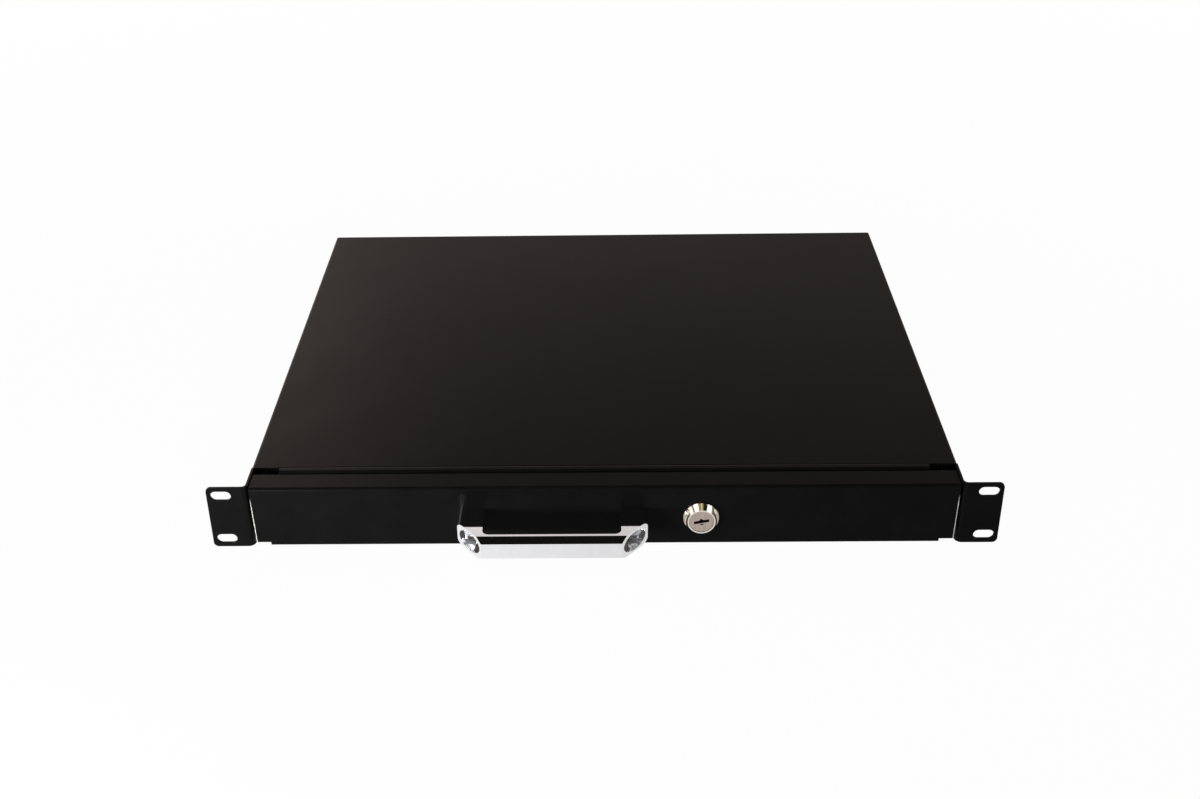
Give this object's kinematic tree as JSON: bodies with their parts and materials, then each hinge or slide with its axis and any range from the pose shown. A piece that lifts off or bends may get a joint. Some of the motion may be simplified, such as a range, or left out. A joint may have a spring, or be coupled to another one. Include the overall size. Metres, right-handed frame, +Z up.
{
  "type": "sliding rack drawer",
  "caption": "Low black steel 19 inch rack drawer: tray on telescopic ball slides in a covered case with slotted ears, bow handle and cam lock on the front.",
  "frame": {"origin": "centre of the rack slot pattern on the rear face of the ears, which bears on the rack rails", "axes": "+X to the right seen from the front, +Y to the rear into the rack, +Z up; the drawer opens towards -Y"},
  "size_m": [0.4826, 0.3873, 0.0436],
  "materials": {
    "black_steel": "satin black powder coat with a fine texture",
    "slide_black": "black electrophoretic coat on cold rolled steel",
    "chrome": "bright chrome plate on a zinc casting",
    "lock_nickel": "bright nickel plate, slightly warm",
    "zinc": "blue zinc plate",
    "ball_steel": "polished bearing steel",
    "black_plastic": "black moulded plastic"
  },
  "bodies": {
    "case": {"case_shell": "black_steel", "rear_panel": "black_steel", "rear_screws": "zinc", "lock_keeper": "black_steel", "left_outer_member": "slide_black", "left_bumper": "black_plastic", "left_case_screws": "zinc", "left_case_nuts": "zinc", "right_outer_member": "slide_black", "right_bumper": "black_plastic", "right_case_screws": "zinc", "right_case_nuts": "zinc"},
    "drawer": {"drawer_tray": "black_steel", "drawer_front": "black_steel", "handle": "chrome", "handle_screws": "zinc", "handle_nuts": "zinc", "lock_housing": "lock_nickel", "lock_nut": "zinc", "left_inner_member": "slide_black", "left_tray_screws": "zinc", "right_inner_member": "slide_black", "right_tray_screws": "zinc"},
    "lock_cylinder": {"lock_plug": "lock_nickel", "lock_cam": "zinc", "cam_washer": "zinc", "cam_screw": "zinc"},
    "left_middle": {"left_middle_member": "slide_black"},
    "left_outer_cage": {"left_outer_cage": "zinc", "left_outer_balls": "ball_steel"},
    "left_inner_cage": {"left_inner_cage": "zinc", "left_inner_balls": "ball_steel"},
    "right_middle": {"right_middle_member": "slide_black"},
    "right_outer_cage": {"right_outer_cage": "zinc", "right_outer_balls": "ball_steel"},
    "right_inner_cage": {"right_inner_cage": "zinc", "right_inner_balls": "ball_steel"}
  },
  "joints": [
    {"name": "drawer_slide", "type": "slide", "parent": "case", "child": "drawer", "axis": [0, -1, 0], "range_m": [0, 0.29]},
    {"name": "lock_turn", "type": "hinge", "parent": "drawer", "child": "lock_cylinder", "pos_m": [0.0596, 0, -0.0017], "axis": [0, -1, 0], "range_deg": [0, 90]},
    {"name": "left_middle_slide", "type": "slide", "parent": "case", "child": "left_middle", "axis": [0, -1, 0], "range_m": [0, 0.145]},
    {"name": "left_outer_cage_slide", "type": "slide", "parent": "case", "child": "left_outer_cage", "axis": [0, -1, 0], "range_m": [0, 0.0725]},
    {"name": "left_inner_cage_slide", "type": "slide", "parent": "case", "child": "left_inner_cage", "axis": [0, -1, 0], "range_m": [0, 0.2175]},
    {"name": "right_middle_slide", "type": "slide", "parent": "case", "child": "right_middle", "axis": [0, -1, 0], "range_m": [0, 0.145]},
    {"name": "right_outer_cage_slide", "type": "slide", "parent": "case", "child": "right_outer_cage", "axis": [0, -1, 0], "range_m": [0, 0.0725]},
    {"name": "right_inner_cage_slide", "type": "slide", "parent": "case", "child": "right_inner_cage", "axis": [0, -1, 0], "range_m": [0, 0.2175]}
  ],
  "couplings": [
    {"joint": "left_middle_slide", "follows": "drawer_slide", "ratio": 0.5},
    {"joint": "left_outer_cage_slide", "follows": "drawer_slide", "ratio": 0.25},
    {"joint": "left_inner_cage_slide", "follows": "drawer_slide", "ratio": 0.75},
    {"joint": "right_middle_slide", "follows": "drawer_slide", "ratio": 0.5},
    {"joint": "right_outer_cage_slide", "follows": "drawer_slide", "ratio": 0.25},
    {"joint": "right_inner_cage_slide", "follows": "drawer_slide", "ratio": 0.75}
  ]
}
